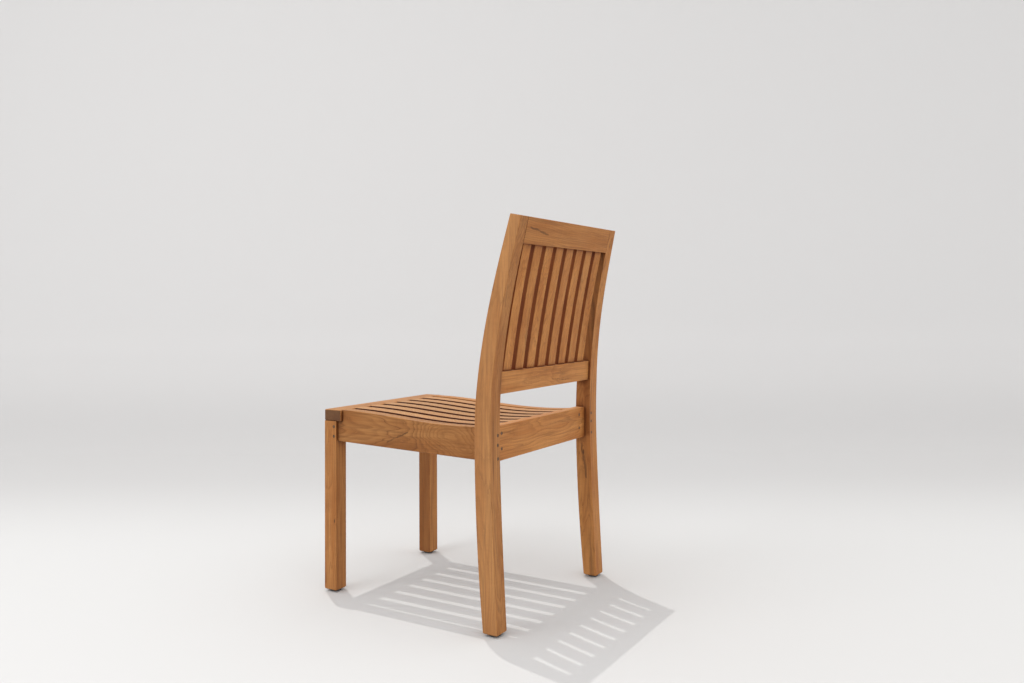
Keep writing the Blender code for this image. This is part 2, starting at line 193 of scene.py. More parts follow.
def seat_z(y):
    """Height of the seat line at this distance from the front."""
    if y <= SEAT_FRONT[0]:
        return SEAT_FRONT[1]
    if y <= SEAT_LOW[0]:
        part = (y - SEAT_FRONT[0]) / (SEAT_LOW[0] - SEAT_FRONT[0])
        return SEAT_FRONT[1] - (SEAT_FRONT[1] - SEAT_LOW[1]) * math.sin(part * math.pi / 2) ** 2
    part = (y - SEAT_LOW[0]) / (SEAT_BACK[0] - SEAT_LOW[0])
    return SEAT_LOW[1] + (SEAT_BACK[1] - SEAT_LOW[1]) * part**2


def leg_line(z, knee, sweep, kick):
    """Y of one edge of the rear leg, seen from the side."""
    if z >= KNEE_Z:
        part = (z - KNEE_Z) / (TOP_Z - KNEE_Z)
        return knee + sum(term * part ** (n + 2) for n, term in enumerate(sweep))
    part = (KNEE_Z - z) / KNEE_Z
    return knee + kick[0] * part ** kick[1]


def leg_rear(z):
    return leg_line(z, KNEE_REAR, REAR_SWEEP, REAR_KICK)


def leg_front(z):
    return leg_line(z, KNEE_FRONT, FRONT_SWEEP, FRONT_KICK)


def leg_inner(z):
    return LEG_INNER - LEAN_INNER * max(0.0, z - LEAN_Z)


def leg_outer(z):
    return LEG_OUTER - LEAN_OUTER * max(0.0, z - LEAN_Z)


def cut_drop(z):
    """How much lower the rear corner of a leg section is than its front corner."""
    return TOP_DROP * max(0.0, z - LEAN_Z) / (TOP_Z - LEAN_Z)


def slat_rear(z):
    part = (z - BACK_SLAT_Z[0]) / (BACK_SLAT_Z[1] - BACK_SLAT_Z[0])
    return BACK_LINE[0] + BACK_LINE[1] * part + BACK_LINE[2] * part**2


def steps(low, high, count):
    return [low + (high - low) * i / count for i in range(count + 1)]


def loft(name, rings, eased=None, look=None, ease=EASE, ends=(False, False)):
    """A closed body through rings of equal corner count.

    The long arrises between the two rings numbered in eased are softened, and ends says whether those
    two rings are too. A body without a look is a cutter.
    """
    mesh = bpy.data.meshes.new(name)
    bm = bmesh.new()
    weight = bm.edges.layers.float.new("bevel_weight_edge")
    placed = []
    for ring in rings:
        placed.append([bm.verts.new((x * MM, (y - MIDDLE_Y) * MM, z * MM)) for x, y, z in ring])
    for lower, upper in zip(placed, placed[1:]):
        for i in range(len(lower)):
            j = (i + 1) % len(lower)
            bm.faces.new((lower[i], lower[j], upper[j], upper[i]))
    bm.faces.new(placed[0])
    bm.faces.new(placed[-1])
    bmesh.ops.recalc_face_normals(bm, faces=bm.faces)
    if eased:
        first, last = eased
        for number in range(first, last + 1):
            ring = placed[number]
            for i, vert in enumerate(ring):
                if number < last:
                    bm.edges.get((vert, placed[number + 1][i]))[weight] = 1.0
                if (number == first and ends[0]) or (number == last and ends[1]):
                    bm.edges.get((vert, ring[(i + 1) % len(ring)]))[weight] = 1.0
    bm.to_mesh(mesh)
    bm.free()
    made = bpy.data.objects.new(name if look is None else name + "_shown", mesh)
    if look is None:
        cutters.objects.link(made)
        made.hide_render = True
        made.display_type = "WIRE"
        return made
    chair.objects.link(made)
    made["node"] = name
    made["look"] = look
    if eased:
        bevel = made.modifiers.new("Eased arrises", "BEVEL")
        bevel.limit_method = "WEIGHT"
        bevel.width = ease * MM
        bevel.segments = EASE_STEPS
    return made


def cut(body, cutter):
    boolean = body.modifiers.new(cutter.name, "BOOLEAN")
    boolean.operation = "DIFFERENCE"
    boolean.solver = "EXACT"
    boolean.object = cutter


def ring_z(x, y, z):
    """Rectangle at one height; z is one value or the front and rear heights."""
    front, rear = z if isinstance(z, tuple) else (z, z)
    return [(x[0], y[0], front), (x[1], y[0], front), (x[1], y[1], rear), (x[0], y[1], rear)]


def ring_y(x, y, z):
    return [(x[0], y, z[0]), (x[1], y, z[0]), (x[1], y, z[1]), (x[0], y, z[1])]


def ring_x(x, y, z):
    return [(x, y[0], z[0]), (x, y[1], z[0]), (x, y[1], z[1]), (x, y[0], z[1])]


def flip(ring, side):
    return [(side * x, y, z) for x, y, z in ring]


def mortise(name, x, y, z):
    """Cutter box. Each span is given as the tenon's, and opens by the fit on every side."""
    x, y, z = [(min(span) - FIT, max(span) + FIT) for span in (x, y, z)]
    return loft(name, [ring_z(x, y, height) for height in z])


def round_rings(axis, centre, stations):
    """Circles square to an axis; each station is (distance along the axis, radius)."""
    rings = []
    for along, radius in stations:
        ring = []
        for i in range(PEG_SIDES):
            turn = 2 * math.pi * i / PEG_SIDES
            across = [centre[0] + radius * math.cos(turn), centre[1] + radius * math.sin(turn)]
            across.insert(axis, along)
            ring.append(tuple(across))
        rings.append(ring)
    return rings


def peg(name, axis, centre, inner, outer):
    """Round peg between two positions along an axis, and the cutter for its hole."""
    way = 1 if outer > inner else -1
    stations = [
        (inner, PEG_R - PEG_EASE),
        (inner + way * PEG_EASE, PEG_R),
        (outer - way * PEG_EASE, PEG_R),
        (outer, PEG_R - PEG_EASE),
    ]
    loft(name, round_rings(axis, centre, stations), look=PEG_WOOD)
    ends = [(inner - way * FIT, PEG_R + FIT), (outer + way * PEG_R, PEG_R + FIT)]
    return loft("hole_" + name, round_rings(axis, centre, ends))


def glide(name, x, y):
    """Round pad with a stud, and the cutter for the stud's hole."""
    stations = [(0.0, GLIDE_R - PAD_CHAMFER), (PAD_CHAMFER, GLIDE_R), (FOOT_Z, GLIDE_R)]
    stations += [(FOOT_Z, STUD_R), (STUD_TOP, STUD_R)]
    loft(name, round_rings(2, (x, y), stations), look=PAD_GREY)
    ends = [(0.0, STUD_R + FIT), (STUD_TOP + FIT, STUD_R + FIT)]
    return loft("hole_" + name, round_rings(2, (x, y), ends))


def tapered_foot(x, y, z):
    """Two rings that give the foot its chamfer, from its underside up."""
    inset_x = (x[0] + FOOT_CHAMFER, x[1] - FOOT_CHAMFER)
    inset_y = (y[0] + FOOT_CHAMFER, y[1] - FOOT_CHAMFER)
    return [ring_z(inset_x, inset_y, z), ring_z(x, y, z + FOOT_CHAMFER)]


def front_leg(label, side):
    rings = tapered_foot(FRONT_LEG_X, FRONT_LEG_Y, FOOT_Z + FIT)
    rings.append(ring_z(FRONT_LEG_X, FRONT_LEG_Y, FRONT_LEG_TOP))
    middle_x = sum(FRONT_LEG_X) / 2
    middle_y = sum(FRONT_LEG_Y) / 2
    stub_x = (middle_x - LEG_STUB / 2, middle_x + LEG_STUB / 2)
    stub_y = (middle_y - LEG_STUB / 2, middle_y + LEG_STUB / 2)
    stub_top = FRONT_LEG_TOP + LEG_STUB_HIGH
    rings += [ring_z(stub_x, stub_y, FRONT_LEG_TOP), ring_z(stub_x, stub_y, stub_top)]
    rings = [flip(ring, side) for ring in rings]
    leg = loft("front_leg_" + label, rings, (0, 2), WOOD, ends=(True, False))
    across = [side * x for x in SIDE_TENON_X]
    depth = (SIDE_TENON_Y, FRONT_LEG_Y[1] + OPENING)
    cut(leg, mortise("side_mortise_" + label, across, depth, SIDE_TENON_Z))
    across = (side * (FRONT_LEG_X[0] - OPENING), side * APRON_TENON_X)
    cut(leg, mortise("apron_mortise_" + label, across, APRON_TENON_Y, APRON_TENON_Z))
    cut(leg, glide("glide_front_" + label, side * middle_x, middle_y))
    across = [side * x for x in stub_x]
    return leg, mortise("stub_mortise_" + label, across, stub_y, (BOARD_Z[0] - OPENING, stub_top))


def rear_leg(label, side):
    heights = steps(FOOT_Z + FIT + FOOT_CHAMFER, KNEE_Z, LEG_STATIONS[0])
    heights += steps(KNEE_Z, TOP_Z, LEG_STATIONS[1])[1:]
    foot = FOOT_Z + FIT
    foot_y = (leg_front(foot), leg_rear(foot))
    rings = tapered_foot((LEG_INNER, LEG_OUTER), foot_y, foot)[:1]
    for z in heights:
        rear_z = z - cut_drop(z)
        x = (leg_inner(z), leg_outer(z))
        rings.append(ring_z(x, (leg_front(z), leg_rear(rear_z)), (z, rear_z)))
    rings = [flip(ring, side) for ring in rings]
    leg = loft("rear_leg_" + label, rings, (0, len(rings) - 1), WOOD, ends=(True, True))
    for name, reach, y, z in (
        ("rear_rail", REAR_TENON_X, REAR_TENON_Y, REAR_TENON_Z),
        ("low_rail", LOW_TENON_X, LOW_TENON_Y, LOW_TENON_Z),
    ):
        x = (side * (LEG_INNER - OPENING), side * reach)
        cut(leg, mortise(f"{name}_mortise_{label}", x, y, z))
    cut(leg, top_tenon("top_mortise_" + label, side, FIT))
    cut(leg, glide("glide_rear_" + label, side * (LEG_INNER + LEG_OUTER) / 2, sum(foot_y) / 2))
    return leg


def rake(z):
    """Rear face of the top rail at this height, flush with the stiles."""
    return leg_rear(z)


def top_tenon_section(grow):
    """Side view of the top rail's tenon, square to the rake, and how far from the middle its tip is."""
    low, high = TOP_TENON_Z[0] - grow, TOP_TENON_Z[1] + grow
    back = (TOP_RAIL_THICK - TOP_TENON_THICK) / 2 - grow
    front = back + TOP_TENON_THICK + 2 * grow
    section = [
        (rake(low) - front, low),
        (rake(low) - back, low),
        (rake(high) - back, high),
        (rake(high) - front, high),
    ]
    tip = leg_inner(TOP_TENON_Z[1]) + TOP_TENON_IN + grow
    return section, tip


def top_tenon(name, side, grow):
    section, tip = top_tenon_section(grow)
    stations = (leg_inner(TOP_Z) - OPENING, tip)
    return loft(name, [[(side * x, y, z) for y, z in section] for x in stations])


def rail_slope():
    """Rise per length, towards the front, of the top rail's upper and lower faces."""
    return TOP_DROP / (rake(TOP_Z) - leg_front(TOP_Z))


def top_rail():
    low = TOP_RAIL_BOTTOM
    rear_top = TOP_Z - TOP_DROP
    front_low = low + rail_slope() * TOP_RAIL_THICK
    front_top = rear_top + rail_slope() * TOP_RAIL_THICK
    middle = (low + rear_top) / 2
    front_middle = (front_low + front_top) / 2
    body = [
        (rake(low) - TOP_RAIL_THICK, front_low),
        (rake(low), low),
        (rake(middle), middle),
        (rake(rear_top), rear_top),
        (rake(rear_top) - TOP_RAIL_THICK, front_top),
        (rake(middle) - TOP_RAIL_THICK, front_middle),
    ]
    section, tip = top_tenon_section(0.0)
    half = (TOP_TENON_Z[0] + TOP_TENON_Z[1]) / 2
    back = (TOP_RAIL_THICK - TOP_TENON_THICK) / 2
    rear_mid = (rake(half) - back, half)
    front_mid = (rake(half) - back - TOP_TENON_THICK, half)
    tenon = [section[0], section[1], rear_mid, section[2], section[3], front_mid]
    shoulder = [(leg_inner(z) - FIT, y, z) for y, z in body]
    root = [(leg_inner(z) - FIT, y, z) for y, z in tenon]
    end = [(tip, y, z) for y, z in tenon]
    rings = [flip(ring, -1) for ring in (end, root, shoulder)] + [shoulder, root, end]
    return loft("top_rail", rings, (2, 3), WOOD)


def cross_rail(name, y, z, half, tenon_x, tenon_y, tenon_z):
    """Straight rail across the chair with a tenon at each end."""
    body, tenon = (y, z), (tenon_y, tenon_z)
    stations = [
        (-tenon_x, tenon),
        (-half, tenon),
        (-half, body),
        (half, body),
        (half, tenon),
        (tenon_x, tenon),
    ]
    return loft(name, [ring_x(x, *spans) for x, spans in stations], (2, 3), WOOD)


def low_rail():
    """Lower back rail, whose ends follow the lean of the stiles."""
    low, high = LOW_RAIL_Z
    shoulder = []
    for z, thick in ((low, LOW_RAIL_THICK), (low, 0.0), (high, 0.0), (high, LOW_RAIL_THICK)):
        shoulder.append((leg_inner(z) - FIT, leg_rear(z) - LOW_RAIL_INSET - thick, z))
    root = [(leg_inner(z) - FIT, y, z) for _, y, z in ring_x(0.0, LOW_TENON_Y, LOW_TENON_Z)]
    end = ring_x(LOW_TENON_X, LOW_TENON_Y, LOW_TENON_Z)
    rings = [flip(ring, -1) for ring in (end, root, shoulder)] + [shoulder, root, end]
    return loft("lower_back_rail", rings, (2, 3), WOOD)


def side_rail(label, side):
    def bottom(y):
        return SIDE_BOTTOM_FRONT - SIDE_BOTTOM_SLOPE * y

    rings = [
        ring_y(SIDE_TENON_X, SIDE_TENON_Y, SIDE_TENON_Z),
        ring_y(SIDE_TENON_X, SIDE_Y[0], SIDE_TENON_Z),
        ring_y(SIDE_X, SIDE_Y[0], (bottom(SIDE_Y[0]), SEAT_FRONT[1])),
    ]
    for y in steps(BOARD_Y[1], SIDE_Y[1], SEAT_STATIONS):
        rings.append(ring_y(SIDE_X, y, (bottom(y), seat_z(y))))
    rings = [flip(ring, side) for ring in rings]
    rail = loft("side_rail_" + label, rings, (2, len(rings) - 1), WOOD)
    across = [side * x for x in SIDE_X]
    cut(rail, mortise("board_seat_" + label, across, BOARD_Y, (BOARD_Z[0], BOARD_Z[1] + OPENING)))
    return rail


def seat_slat(number, x):
    """Dished slat with a tongue at each end, and the cutters for the two housings."""
    wide = (x - SEAT_SLAT_WIDE / 2, x + SEAT_SLAT_WIDE / 2)
    tongue = (x - TONGUE_WIDE / 2, x + TONGUE_WIDE / 2)
    start, stop = BOARD_Y[1] + FIT, REAR_RAIL_Y[0] - FIT

    def tongue_z(y):
        return seat_z(y) - TONGUE_DROP[1], seat_z(y) - TONGUE_DROP[0]

    rings = [ring_y(tongue, y, tongue_z(start)) for y in (start - TONGUE_LONG, start)]
    for y in steps(start, stop, SEAT_STATIONS):
        rings.append(ring_y(wide, y, (seat_z(y) - SEAT_SLAT_THICK, seat_z(y))))
    rings += [ring_y(tongue, y, tongue_z(stop)) for y in (stop, stop + TONGUE_LONG)]
    loft(f"seat_slat_{number}", rings, (2, len(rings) - 3), WOOD, SLAT_EASE)
    front_y = (start - TONGUE_LONG, start + OPENING)
    back_y = (stop - OPENING, stop + TONGUE_LONG)
    front = mortise(f"front_housing_{number}", tongue, front_y, tongue_z(start))
    back = mortise(f"back_housing_{number}", tongue, back_y, tongue_z(stop))
    return front, back


def back_slat(number, x):
    """Curved upright slat with a tenon at each end, and the cutters for the two mortises."""
    wide = (x - BACK_SLAT_WIDE / 2, x + BACK_SLAT_WIDE / 2)
    tenon = (x - BACK_TENON_WIDE / 2, x + BACK_TENON_WIDE / 2)
    low, high = BACK_SLAT_Z
    rise = (slat_rear(high) - slat_rear(high - TOP_RUN)) / TOP_RUN
    inset = (BACK_SLAT_THICK - BACK_TENON_THICK) / 2

    def tenon_y(rear):
        return rear - inset - BACK_TENON_THICK, rear - inset

    def at_rail(x, y):
        """Ring where lines that leave the slat's top at these Y meet the rail's sloping underside."""
        climbs = [rail_slope() * (rake(high) - each) / (1 + rail_slope() * rise) for each in y]
        met = [each + rise * climb for each, climb in zip(y, climbs)]
        return ring_z(x, met, (high + climbs[0], high + climbs[1]))

    rings = [ring_z(tenon, tenon_y(slat_rear(low)), z) for z in (low - BACK_TENON_LONG, low)]
    for z in steps(low, high, BACK_STATIONS)[:-1]:
        rings.append(ring_z(wide, (slat_rear(z) - BACK_SLAT_THICK, slat_rear(z)), z))
    ends = (slat_rear(high) - BACK_SLAT_THICK, slat_rear(high))
    tip = tenon_y(ends[1] + rise * BACK_TENON_LONG)
    rings += [at_rail(wide, ends), at_rail(tenon, tenon_y(ends[1]))]
    rings.append(ring_z(tenon, tip, high + BACK_TENON_LONG))
    loft(f"back_slat_{number}", rings, (2, len(rings) - 3), WOOD)
    socket_z = (low - BACK_TENON_LONG, low + OPENING)
    lower = mortise(f"low_socket_{number}", tenon, tenon_y(slat_rear(low)), socket_z)
    grown = (tenon[0] - FIT, tenon[1] + FIT)
    sockets = []
    for z in (high - OPENING, high + BACK_TENON_LONG + FIT):
        near, far = tenon_y(slat_rear(high) + rise * (z - high))
        sockets.append(ring_z(grown, (near - FIT, far + FIT), z))
    return lower, loft(f"top_socket_{number}", sockets)


chair = bpy.data.collections.new("chair_pieces")
cutters = bpy.data.collections.new("cutters")
bpy.context.scene.collection.children.link(chair)
bpy.context.scene.collection.children.link(cutters)

board = loft(
    "front_board",
    [ring_x(x, BOARD_Y, BOARD_Z) for x in (-BOARD_X, BOARD_X)],
    (0, 1),
    WOOD,
    BOARD_EASE,
    (True, True),
)
cross_rail(
    "front_apron",
    APRON_Y,
    APRON_Z,
    FRONT_LEG_X[0] - FIT,
    APRON_TENON_X - FIT,
    APRON_TENON_Y,
    APRON_TENON_Z,
)
back_rail = cross_rail(
    "rear_seat_rail",
    REAR_RAIL_Y,
    REAR_RAIL_Z,
    LEG_INNER - FIT,
    REAR_TENON_X - FIT,
    REAR_TENON_Y,
    REAR_TENON_Z,
)
lower_rail = low_rail()
crest = top_rail()

for label, side in SIDES.items():
    leg, stub = front_leg(label, side)
    cut(board, stub)
    stile = rear_leg(label, side)
    rail = side_rail(label, side)
    for i, z in enumerate(FRONT_PEG_Z, 1):
        name = f"front_leg_peg_{label}_{i}"
        hole = peg(name, 0, (FRONT_PEG_Y, z), side * FRONT_PEG_IN, side * FRONT_LEG_X[1])
        cut(leg, hole)
        cut(rail, hole)
    for i, z in enumerate(REAR_PEG_Z, 1):
        hole = peg(f"rear_leg_peg_{label}_{i}", 1, (side * REAR_PEG_X, z), REAR_PEG_IN, leg_rear(z))
        cut(stile, hole)
        cut(back_rail, hole)
    for i, z in enumerate(RAIL_PEG_Z, 1):
        name = f"rail_peg_{label}_{i}"
        hole = peg(name, 1, (side * RAIL_PEG_X, z), RAIL_PEG_IN, REAR_RAIL_Y[1])
        cut(back_rail, hole)
        cut(rail, hole)

for i in range(SEAT_SLATS):
    front_housing, back_housing = seat_slat(i + 1, SEAT_PITCH * (i - (SEAT_SLATS - 1) / 2))
    cut(board, front_housing)
    cut(back_rail, back_housing)

for i in range(BACK_SLATS):
    low_socket, top_socket = back_slat(i + 1, BACK_PITCH * (i - (BACK_SLATS - 1) / 2))
    cut(lower_rail, low_socket)
    cut(crest, top_socket)


SHARP_DEGREES = 38.0  # an edge that turns more than this stays sharp
NORMAL_WEIGHT = 60  # how much a face's area counts in its corners' normals


def baked(obj):
    """Replaces the object's mesh by its evaluated one, smooth across arrises and flat on faces."""
    graph = bpy.context.evaluated_depsgraph_get()
    mesh = bpy.data.meshes.new_from_object(obj.evaluated_get(graph))
    obj.modifiers.clear()
    obj.data = mesh
    for face in mesh.polygons:
        face.use_smooth = True
    mesh.set_sharp_from_angle(angle=math.radians(SHARP_DEGREES))
    steady = obj.modifiers.new("Face weighted normals", "WEIGHTED_NORMAL")
    steady.keep_sharp = True
    steady.weight = NORMAL_WEIGHT


for obj in list(chair.objects):
    baked(obj)
for obj in list(cutters.objects):
    bpy.data.objects.remove(obj)


class Graph:
    """Short names for building a node tree."""

    def __init__(self, tree):
        self.tree = tree

    def put(self, target, value):
        if isinstance(value, bpy.types.NodeSocket):
            self.tree.links.new(value, target)
        elif isinstance(value, (int, float)) and target.type in ("VECTOR", "RGBA"):
            target.default_value = [value] * len(target.default_value)
        else:
            target.default_value = value

    def node(self, kind, **settings):
        made = self.tree.nodes.new("ShaderNode" + kind)
        for key, value in settings.items():
            setattr(made, key, value)
        return made

    def math(self, operation, *values, clamp=False):
        made = self.node("Math", operation=operation, use_clamp=clamp)
        for socket, value in zip(made.inputs, values):
            self.put(socket, value)
        return made.outputs[0]

    def vector(self, operation, *values):
        made = self.node("VectorMath", operation=operation)
        for socket, value in zip(made.inputs, values):
            self.put(socket, value)
        return made.outputs["Value" if operation in ("LENGTH", "DOT_PRODUCT") else "Vector"]

    def scaled(self, vector, factor):
        made = self.node("VectorMath", operation="SCALE")
        self.put(made.inputs[0], vector)
        self.put(made.inputs["Scale"], factor)
        return made.outputs[0]

    def linear(self, value, base, rise):
        """Base plus rise times the value."""
        return self.math("ADD", base, self.math("MULTIPLY", value, rise))

    def less(self, value, share):
        """The value with this share of it taken away."""
        return self.math("MULTIPLY", value, self.math("SUBTRACT", 1.0, share))

    def noise(self, vector, detail=2.0, roughness=0.5, distortion=0.0):
        made = self.node("TexNoise")
        self.put(made.inputs["Vector"], vector)
        self.put(made.inputs["Scale"], 1.0)
        self.put(made.inputs["Detail"], detail)
        self.put(made.inputs["Roughness"], roughness)
        self.put(made.inputs["Distortion"], distortion)
        return made.outputs

    def stretched(self, point, seed, scale, offset):
        """Point scaled by an (across, across, along) triple and moved by the piece's seed.

        Each noise has an offset of its own, so that no two of them follow each other.
        """
        moved = self.vector("MULTIPLY", point, scale)
        return self.vector("ADD", moved, self.vector("ADD", seed, (offset, offset * 0.7, offset * 1.3)))

    def smooth(self, value, low, high):
        made = self.node("MapRange", interpolation_type="SMOOTHSTEP")
        for socket, number in zip(made.inputs, (value, low, high, 0.0, 1.0)):
            self.put(socket, number)
        return made.outputs[0]

    def mix(self, factor, first, second, blend="MIX"):
        made = self.node("Mix", data_type="RGBA", blend_type=blend)
        self.put(made.inputs[0], factor)
        self.put(made.inputs[6], first)
        self.put(made.inputs[7], second)
        return made.outputs[2]

    def open_air(self, reach, power):
        """How free of nooks the surface is within this reach in metres, from 0 to 1."""
        nook = self.node("AmbientOcclusion", samples=NOOK_SAMPLES)
        nook.inputs["Distance"].default_value = reach
        return self.math("POWER", nook.outputs["AO"], power)

    def relief(self, surface, height, strength, depth):
        """Bump from a height between 0 and 1; the depth is in metres."""
        bump = self.node("Bump")
        bump.inputs["Strength"].default_value = strength
        bump.inputs["Distance"].default_value = depth
        self.put(bump.inputs["Height"], height)
        self.put(surface.inputs["Normal"], bump.outputs[0])


def colour(red, green, blue):
    return (red, green, blue, 1.0)


def blank(name):
    """A new material, its graph and its surface shader."""
    made = bpy.data.materials.new(name)
    made.use_nodes = True
    return made, Graph(made.node_tree), made.node_tree.nodes["Principled BSDF"]


HONEY = colour(0.530, 0.226, 0.057)
AMBER = colour(0.424, 0.153, 0.031)
BROWN = colour(0.200, 0.062, 0.0115)
UMBER = colour(0.066, 0.026, 0.009)
ASH = colour(0.085, 0.043, 0.022)
END_SHADE = colour(0.62, 0.60, 0.62)
COOL_CAST = colour(1.0, 1.06, 1.36)
WARM_CAST = colour(1.0, 0.97, 0.86)

# Inputs of the wood; a piece that doesn't set one takes the value here
WOOD_VECTORS = (
    "Point",
    "Seed",
    "Pith",
    "Tilt",
    "Knot A",
    "Knot B",
    "Line from",
    "Line to",
    "Curl centre",
)
WOOD_NUMBERS = {
    "Knot A size": 0.0,
    "Knot B size": 0.0,
    "Ring": 0.4,
    "Tone": 0.5,
    "Warmth": 0.5,
    "Streaks": 0.3,
    "End grain": 0.0,
    "Figure": 1.0,
    "Line width": 0.0,
    "Curl": 0.15,
    "Curl reach": 1000.0,
}

# Noises in the wood: scale per centimetre across, across and along the grain, then the offset,
# detail, roughness and distortion
NOISES = {
    "wander": ((0.0, 0.0, 0.050), 0.0, 1.5),  # of the pith
    "ripple": ((0.30, 0.30, 0.022), 3.0, 2.5, 0.55),  # of the rings
    "pace": ((0.9, 0.9, 0.02), 9.0, 1.0),  # of the rings' widths
    "broad": ((0.42, 0.42, 0.045), 14.0, 2.0, 0.5),  # honey and amber areas
    "ribbon": ((2.6, 2.6, 0.055), 21.0, 4.0, 0.60),
    "fibre": ((13.0, 13.0, 0.55), 27.0, 3.0, 0.60),
    "pore": ((30.0, 30.0, 1.3), 35.0, 1.0, 0.4),
    "mineral": ((0.85, 0.85, 0.045), 41.0, 3.0, 0.55, 0.7),
    "bend": ((0.5, 0.5, 0.5), 51.0, 3.0, 0.6),  # of the dark line
    "curl": ((0.28, 0.28, 1.9), 61.0, 2.0, 0.5),
}
BROAD_EDGE = (0.30, 0.72)
RIBBON_EDGE = (0.42, 0.74)
PORE_EDGE = (0.60, 0.70)
MINERAL_EDGE = (0.56, 0.70)

# Knots
KNOT_SQUASH = (1.0, 1.0, 0.42)  # a knot is longer along the grain
KNOT_PUSH = 2.0  # how far it moves the rings, for its size
BELL_BASE = 2.718  # near e, so that the push falls off as a bell curve
HEART_EDGE = (-0.75, -0.25)
# A swelling larger than this many centimetres bends the rings and has no dark heart
SOUND_KNOT = 1.2

# Growth rings
WANDER = (3.2, 3.2, 0.0)  # centimetres
RIPPLE = 1.7  # centimetres
PACE = 1.6  # ring widths
EARLY_EDGE = (0.02, 0.30)  # stretch of a ring over which the dark early wood ends
LATE_POWER = 2.5
LATE_DARK = 0.85
LATE_EDGE = (0.94, 1.0)
FAINTEST_RING = 0.30

# The dark line between two given points
LINE_BEND = (0.9, 0.9, 0.9)  # centimetres
LINE_EDGE = (0.25, 1.0)
CURL_EDGE = (0.35, 1.0)
LEAST = 0.001  # keeps a divisor from being zero
THINNEST_LINE = 0.0001

# How much of its shade each mark puts over the wood
RIBBON_STAIN = 0.46
RING_STAIN = 0.52
MINERAL_STAIN = 0.66
LINE_STAIN = 0.60
PORE_STAIN = 0.38
HEART_STAIN = 0.80
ASH_STAIN = 0.55
CURL_GLEAM = 0.9

# Each as (least, how much the full measure adds)
PORE_STRENGTH = (0.35, 0.65)  # pores are strongest in the early wood
LINE_SWELL = (0.35, 1.3)
FIBRE_LIGHT = (0.84, 0.32)
TONE_LIGHT = (0.72, 0.56)
FIBRE_ROUGH = (0.50, 0.16)
PORE_ROUGH = 0.12  # what a pore adds to that

# How far each mark lifts or sinks the surface, as shares of the bump's depth
PORE_LIFT = -0.75
RING_LIFT = -0.35
FIBRE_LIFT = 0.45
HEART_LIFT = -0.5


